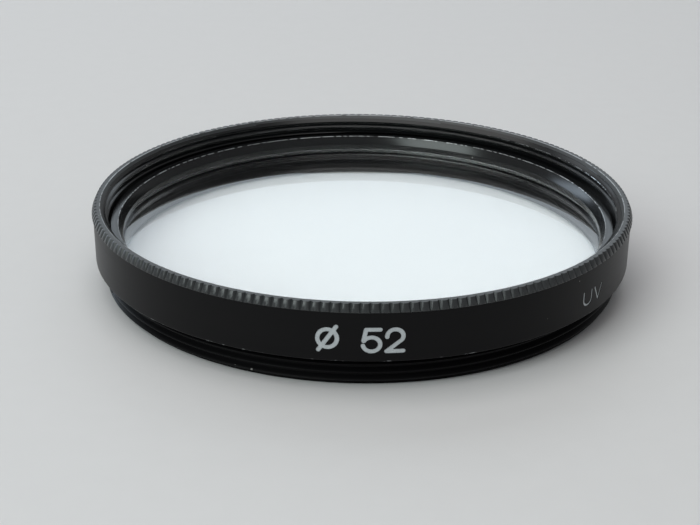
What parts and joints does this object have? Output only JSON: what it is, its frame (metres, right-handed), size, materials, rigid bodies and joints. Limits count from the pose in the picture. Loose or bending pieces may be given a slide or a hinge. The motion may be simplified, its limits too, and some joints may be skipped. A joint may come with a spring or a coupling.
{
  "type": "screw-in camera lens uv filter",
  "caption": "Round screw-in lens filter: a knurled black metal ring with a flat glass disc held by a threaded retaining ring.",
  "frame": {"origin": "centre of the rear thread's end face, on the optical axis", "axes": "+Z along the optical axis and out of the front of the filter"},
  "size_m": [0.0542, 0.0542, 0.0082],
  "materials": {
    "black_metal": "satin black anodised",
    "coated_glass": "polished, thin anti-reflection coat",
    "black_retainer": "satin black anodised"
  },
  "bodies": {
    "root": {"mount_ring": "black_metal", "glass_disc": "coated_glass", "retaining_ring": "black_retainer"}
  },
  "joints": []
}
